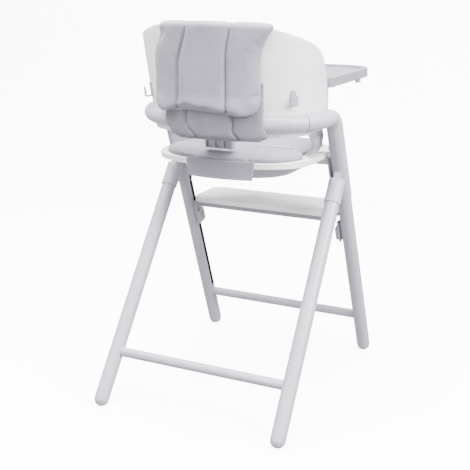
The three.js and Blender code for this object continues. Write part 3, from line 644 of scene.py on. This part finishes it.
def rear_layer():
    """The lower layer: off the shell above the back tube and down outside it."""
    columns, steps, thick = 40, 34, 0.0085
    foot, top = level("rear_cover", 0, 0.0015), level("rear_cover", 1, -0.002)

    def place(i, j):
        share = 2 * i / columns - 1
        bottom = foot + 0.010 * max(0, abs(share) - 0.8) / 0.2
        z = bottom + (top - bottom) * j / steps
        low = smoothstep(0.735 - z, 0, 0.04)
        middle = -0.0165 - 0.0155 * low
        half = 0.1170 - 0.0035 * low
        position = middle + share * half
        base = cover_offset(position, z)
        along = 1 - 2 * j / steps
        full = 0.6 + 0.4 * pillow(share, along if along > 0 else 0)
        return wall(position, z, base + thick * full), wall(position, z, base)

    # The rear layer takes the darker cloth as painted shade from the head pad above it.
    obj = sheet_object("rear_layer", columns, steps, place, CLOTH_PAINTED_SHADE)

    def hold(p):
        position, offset = wall_place(p)
        return min(1, max(0, (offset - cover_offset(position, p[2])) / 0.005))

    inflate(obj, 0.004, 0.0035, pressure=4, hold=hold)

    def seams(p, n):
        position, offset = wall_place(p)
        z = p[2]
        left, right = layer_seam_left(z), layer_seam_right(z)
        depth = 0.0045 * (groove(position - left, 0.004) + groove(position - right, 0.004))
        hem = 0.002 * groove(z - 0.700, 0.006)
        outward_face = smoothstep(offset - cover_offset(position, z), 0.002, 0.005)
        return (-depth - hem + 0.001 * math.sin(45 * position + 20 * z)) * outward_face

    press(obj, seams)
    for tag, seam in (("left", layer_seam_left), ("right", layer_seam_right)):
        rays = upright_rays(seam, 0.6975, 0.800, 40, 0.09, 0.0)
        seam_thread(f"rear_layer_{tag}_seam", obj, rays, "frame")
    finish_soft(obj, "frame", "fabric", "rear_cover", fill=0.5)


def back_pad():
    """The pad inside the shell that the child leans on, in three upright channels."""
    columns, steps, thick = 40, 34, 0.017
    channel, cross_seams = 0.054, {"low": 0.765, "high": 0.855}
    bottom, top = level("back_cushion", 0, 0.0015), level("back_cushion", 1, -0.0015)
    rear = -SHELL_THICK - CLEAR

    def place(i, j):
        share = 2 * i / columns - 1
        z = bottom + (top - bottom) * j / steps
        position = share * 0.1485
        full = 0.3 + 0.7 * pillow(share, 2 * j / steps - 1)
        return wall(position, z, rear - thick * full), wall(position, z, rear)

    obj = sheet_object("back_pad", columns, steps, place, CLOTH)

    def hold(p):
        _, offset = wall_place(p)
        return min(1, max(0, (-0.0125 - offset) / 0.006))

    inflate(obj, 0.005, 0.003, hold=hold)

    def seams(p, n):
        position, offset = wall_place(p)
        depth = groove(abs(position) - channel, 0.0045)
        for height in cross_seams.values():
            depth = max(depth, groove(p[2] - height, 0.0035) * (abs(position) < channel))
        return -0.0055 * depth * (offset < -0.016)

    press(obj, seams)
    for tag, position in (("left", channel), ("right", -channel)):
        rays = upright_rays(lambda z: position, 0.708, 0.932, 50, -0.09, -0.010)
        seam_thread(f"back_pad_{tag}_seam", obj, rays, "frame")
    for tag, z in cross_seams.items():
        rays = [(wall(x, z, -0.09), wall(x, z, -0.010)) for x in np.linspace(-0.053, 0.053, 30)]
        seam_thread(f"back_pad_{tag}_seam", obj, rays, "frame")
    return finish_soft(obj, "frame", "fabric", "back_cushion", fill=0.6)


# ---------------------------------------------------------------- seat soft pieces

def seat_outline(half_width, front, back, count):
    """Evenly spaced points of the D-shaped outline, going round from the front corner at +X."""
    corner, back_radius, front_radius = 0.112, 0.350, 0.070
    corner_x = half_width - corner
    centre = back - back_radius
    corner_y = centre + math.sqrt((back_radius - corner) ** 2 - corner_x ** 2)
    tangent = math.atan2(corner_y - centre, corner_x)
    arcs = [
        (half_width - front_radius, front + front_radius, front_radius, -math.pi / 2, 0),
        (corner_x, corner_y, corner, 0, tangent),
        (0, centre, back_radius, tangent, math.pi - tangent),
        (-corner_x, corner_y, corner, math.pi - tangent, math.pi),
        (-half_width + front_radius, front + front_radius, front_radius, math.pi, 1.5 * math.pi),
    ]
    dense = []
    for x, y, radius, start, end in arcs:
        for k in range(60):
            angle = start + (end - start) * k / 59
            dense.append((x + radius * math.cos(angle), y + radius * math.sin(angle)))
    dense.append(dense[0])
    dense = np.array(dense)
    step = np.r_[0, np.cumsum(np.linalg.norm(np.diff(dense, axis=0), axis=1))]
    wanted = np.linspace(0, step[-1], count, endpoint=False)
    return np.c_[np.interp(wanted, step, dense[:, 0]), np.interp(wanted, step, dense[:, 1])]


def crowned(outline, bottom, top):
    """A crowned pad over an outline: flat underneath, full on top, narrower at its rim."""
    rings, power = 16, 5.0
    middle = np.array((0, 0.02))
    vertices, faces = [], []
    count = len(outline)
    profile = []
    for k in range(rings + 1):
        t = k / rings
        profile.append((t, bottom))
    for k in range(1, 6):
        angle = math.pi / 2 * k / 5
        profile.append((1 + 0.02 * math.sin(2 * angle), bottom + (top - bottom) * 0.42 * k / 5))
    for k in range(rings, -1, -1):
        t = k / rings
        profile.append((t, bottom + (top - bottom) * (0.42 + 0.58 * (1 - t ** power) ** 0.5)))
    for t, z in profile:
        for p in outline:
            x, y = middle + (p - middle) * max(t, 0.001)
            vertices.append((x, y, z))
    for i in range(len(profile) - 1):
        for j in range(count):
            a, b = i * count + j, i * count + (j + 1) % count
            faces.append((a, b, b + count, a + count))
    faces.append(tuple(range(count))[::-1])
    last = (len(profile) - 1) * count
    faces.append(tuple(last + j for j in range(count)))
    return vertices, faces


def seat_pad():
    low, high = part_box("seat_cushion")
    outline = seat_outline(0.1885, low[1] + 0.004, high[1] - 0.004, 150)
    for p in outline:
        room = 0.1705 + 0.0175 * smoothstep(p[1], 0.045, 0.075)
        p[0] = math.copysign(min(abs(p[0]), room), p[0])
    bottom, top = SEAT_TOP + 0.0006, high[2] - 0.003
    obj = mesh_object("seat_pad", *crowned(outline, bottom, top), CLOTH)

    def hold(p):
        return min(1, max(0, (p[2] - bottom - 0.002) / 0.008))

    inflate(obj, 0.005, 0.003, hold=hold)

    def seams(p, n):
        upper = n[2] > 0.35
        apart = 0.058 + 0.10 * max(0, p[1] - 0.06)
        depth = 0.0045 * groove(abs(p[0] + 0.10 * max(0, p[1] - 0.06)) - apart, 0.004) * upper
        depth += 0.0035 * groove(p[1] + 0.045, 0.004) * upper * (abs(p[0]) < 0.052)
        rim = 0.0022 * groove(p[2] - (bottom + 0.0045), 0.0022) * (abs(n[2]) < 0.8)
        fold = 0.0012 * math.sin(33 * p[0] + 11 * p[1]) * math.sin(27 * p[1] + 0.7) * upper
        return -depth - rim + fold

    press(obj, seams)
    return finish_soft(obj, "seat", "fabric", "seat_cushion", fill=0.6)


def side_pad(side, sign):
    """Bulges out over the seat board and goes up inside the shell."""
    bottom = SEAT_TOP + 0.0006
    spine = [(0.0, -0.0125, bottom), (0.25, -0.008, 0.655), (0.5, -0.006, 0.676), (0.75, -0.0095, 0.690),
             (0.85, -0.0135, 0.699), (1.0, -0.0135, 0.715)]
    columns, steps = 22, 22
    rear, front = 0.2965, 0.3935

    def place(i, j):
        share, t = i / columns, j / steps
        position = rear + (front - rear) * share
        offset = np.interp(t, [s[0] for s in spine], [s[1] for s in spine])
        offset += 0.011 * (1 - smoothstep(share, 0.1, 0.7)) * math.sin(math.pi * min(1, t / 0.78))
        z = np.interp(t, [s[0] for s in spine], [s[2] for s in spine])
        full = 0.3 + 0.7 * pillow(2 * share - 1, 2 * t - 1, 3)
        slim = 0.0055 * (1 - full)
        return (wall(sign * position, z, offset - slim),
                wall(sign * position, z, offset - slim - 0.0125 * full))

    obj = sheet_object(f"{side}_side_pad", columns, steps, place, CLOTH)
    inflate(obj, 0.0045, 0.0015, hold=lambda p: min(1, max(0, (0.694 - p[2]) / 0.006)))
    finish_soft(obj, "seat", "fabric", f"{side}_seat_bolster", fill=0.6)


def band():
    """The cloth that ties the seat pad to the board's back edge."""
    low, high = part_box("rear_band")
    radius = 0.351
    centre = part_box("seat_plate")[1][1] - 0.350
    columns, steps = 34, 16

    def place(i, j):
        share, t = 2 * i / columns - 1, j / steps
        z = low[2] + 0.001 + (high[2] - low[2] - 0.002) * t
        angle = (-0.012 + share * (0.0925 - 0.005 * (1 - t))) / radius
        ripple = 0.0006 * math.sin(46 * share + 5 * t)
        hem = 0.0011 * max(smoothstep(abs(share), 0.88, 0.91), smoothstep(0.13 - t, 0, 0.03))
        thick = 0.0030 * (0.55 + 0.45 * pillow(share, 2 * t - 1, 6)) + ripple * 0.5 + hem
        points = []
        for extra in (thick, 0.0):
            reach = radius + 0.0003 + extra
            points.append(Vector((reach * math.sin(angle), centre + reach * math.cos(angle), z)))
        return points

    obj = sheet_object("band", columns, steps, place, CLOTH)
    subdivide(obj)
    finish_soft(obj, "seat", "fabric", "rear_band", fill=0.3)


# ---------------------------------------------------------------- harness

def strap(name, path, normals, width, thick, body, node):
    obj = swept(name, path, normals, width, thick, WEBBING)
    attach(obj, body)
    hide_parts(node)


def harness(back, seat):
    """The shoulder straps lie on the back pad and the others on the seat pad."""
    back_tree, seat_tree = tree_of(back), tree_of(seat)

    def laid(tree, rays, lift):
        hits = [land(tree, start, end, lift) for start, end in rays]
        return [h[0] for h in hits if h is not None], [h[1] for h in hits if h is not None]

    def settle(points):
        """Evens out a strap's path, as a stiff strap bridges small hollows."""
        for _ in range(6):
            points = [points[0]] + [
                (points[i - 1] + points[i] * 2 + points[i + 1]) / 4 for i in range(1, len(points) - 1)
            ] + [points[-1]]
        return points

    down, above = Vector((0, 0, -1)), 0.72
    for side, sign in (("left", 1), ("right", -1)):
        rays = []
        for k in range(30):
            z = 0.7085 + 0.162 * k / 29
            position = sign * (0.046 + 0.0015 * math.sin(5 * k / 29))
            rays.append((wall(position, z, -0.10), wall(position, z, -0.010)))
        path, normals = laid(back_tree, rays, 0.0016)
        strap(f"{side}_shoulder_webbing", settle(path), settle(normals), 0.0245, 0.0022, "frame",
              f"{side}_shoulder_strap")
        low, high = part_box(f"{side}_waist_strap")
        y = (low[1] + high[1]) / 2
        starts = []
        for k in range(20):
            starts.append(Vector((sign * (0.059 + 0.090 * k / 19), y + 0.002 * math.sin(k / 4), above)))
        path, normals = laid(seat_tree, [(p, p + down) for p in starts], 0.0010)
        strap(f"{side}_waist_webbing", settle(path), settle(normals), 0.0245, 0.0018, "seat",
              f"{side}_waist_strap")
    low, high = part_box("crotch_strap")
    starts = [Vector((0, low[1] + 0.001 + (high[1] - low[1] - 0.002) * k / 15, above)) for k in range(16)]
    path, normals = laid(seat_tree, [(p, p + down) for p in starts], 0.0018)
    strap("crotch_webbing", settle(path), settle(normals), 0.0285, 0.0024, "seat", "crotch_strap")


# ---------------------------------------------------------------- CAD nodes

BEVELS = {"seat_plate": 0.0035, "footrest_board": 0.0035, "tray_insert": 0.0024, "tray_base": 0.0022,
          "seat_base": 0.006, "buckle": 0.004, "footrest_bar": 0.002, "back_tube": 0.0002,
          "left_elbow": 0.0002, "right_elbow": 0.0002}


def finish_cad_node(name, material):
    """Gives a CAD node its material and rounds its edges, by modifiers only."""
    obj = nodes[name]
    obj.data.materials.clear()
    obj.data.materials.append(material)
    weld = obj.modifiers.new("Weld", "WELD")
    weld.merge_threshold = 0.00001
    bevel = obj.modifiers.new("Bevel", "BEVEL")
    bevel.width = BEVELS.get(name, 0.0009)
    bevel.segments = 3 if name in BEVELS else 2
    bevel.limit_method = "ANGLE"
    bevel.angle_limit = math.radians(38)


# There is no fabric or webbing here, because those nodes are all replaced by modelled pieces.
SLOT_MATERIALS = {"tube": PAINT, "plastic": PLASTIC, "dark_plastic": DARK_PLASTIC, "steel": STEEL,
                  "wood": BOARD_WOOD}

bent_shell()
head_pad()
rear_layer()
back = back_pad()
seat = seat_pad()
side_pad("left", 1)
side_pad("right", -1)
band()
harness(back, seat)

for part in frame["record"]["subparts"]:
    name = part["node"]
    if nodes[name].hide_render:
        continue
    material = SLOT_MATERIALS[part["material_slot"]]
    # The footrest bar is the same colour as the tubes; it takes the darker tray plastic as painted shade
    # from the board above it.
    if name.startswith("tray_") or name == "footrest_bar":
        material = TRAY_AND_BAR_SHADE_PLASTIC
    finish_cad_node(name, material)

# ---------------------------------------------------------------- floor, light and camera

def floor():
    """A pale sheet that curves up into a backdrop. It glows, but doesn't light the chair."""
    size, rise, radius = 3.2, 2.6, 0.8
    profile = [(size, 0.0), (-size * 0.62, 0.0)]
    for k in range(1, 13):
        angle = math.pi / 2 * k / 12
        profile.append((-size * 0.62 - radius * math.sin(angle), radius - radius * math.cos(angle)))
    profile.append((-size * 0.62 - radius, rise))
    vertices, faces = [], []
    for y, z in profile:
        vertices += [(-size, y, z - 0.0005), (size, y, z - 0.0005)]
    for i in range(len(profile) - 1):
        a = 2 * i
        faces.append((a, a + 1, a + 3, a + 2))
    m = Nodes("floor_paper")
    m.colour((0.90, 0.90, 0.905), (0.93, 0.93, 0.935), m.remap(m.noise(3), 0, 1))
    m.set(Roughness=0.9)
    m.bump((m.noise(220, 2), 0.0002, 0.1))
    m.set(Emission_Color=(1, 1, 1, 1), Emission_Strength=8.5)
    paper = mesh_object("floor", vertices, faces, m.material)
    paper.visible_diffuse = False
    paper.visible_glossy = False


def area_light(name, place, target, size, power):
    light = bpy.data.lights.new(name, "AREA")
    light.shape = "RECTANGLE"
    light.size, light.size_y = size
    light.energy = power
    obj = bpy.data.objects.new(name, light)
    obj.location = place
    obj.rotation_euler = (Vector(target) - Vector(place)).to_track_quat("-Z", "Y").to_euler()
    scene.collection.objects.link(obj)


def studio():
    """Soft white light all round and three lamps. The world is brighter where the camera sees it."""
    world = bpy.data.worlds.new("studio")
    world.use_nodes = True
    soft = world.node_tree.nodes["Background"]
    soft.inputs["Color"].default_value = (1.0, 1.0, 1.0, 1)
    soft.inputs["Strength"].default_value = 1.1
    seen = world.node_tree.nodes.new("ShaderNodeBackground")
    seen.inputs["Color"].default_value = (1.0, 1.0, 1.0, 1)
    seen.inputs["Strength"].default_value = 12.0
    path = world.node_tree.nodes.new("ShaderNodeLightPath")
    mix = world.node_tree.nodes.new("ShaderNodeMixShader")
    link = world.node_tree.links.new
    link(path.outputs["Is Camera Ray"], mix.inputs["Fac"])
    link(soft.outputs["Background"], mix.inputs[1])
    link(seen.outputs["Background"], mix.inputs[2])
    link(mix.outputs["Shader"], world.node_tree.nodes["World Output"].inputs["Surface"])
    scene.world = world
    area_light("key", (-2.6, 0.6, 2.2), (0, 0, 0.6), (1.4, 1.4), 265)
    area_light("top", (0.2, 0.3, 3.0), (0, 0, 0.0), (2.6, 2.6), 480)
    area_light("fill", (1.4, 2.6, 1.2), (0, 0, 0.6), (1.6, 1.6), 25)


def camera():
    data = bpy.data.cameras.new("camera")
    data.sensor_width = 36.0
    data.lens = 68.0
    obj = bpy.data.objects.new("camera", data)
    right = Vector((-0.8997, -0.4365, 0.0)).normalized()
    ahead = Vector((0.4193, -0.8643, -0.2781)).normalized()
    up = right.cross(ahead).normalized()
    turn = Matrix((right, up, -ahead)).transposed().to_4x4()
    obj.matrix_world = Matrix.Translation((-0.9738, 2.0798, 1.0635)) @ turn
    scene.collection.objects.link(obj)
    scene.camera = obj


floor()
studio()
camera()
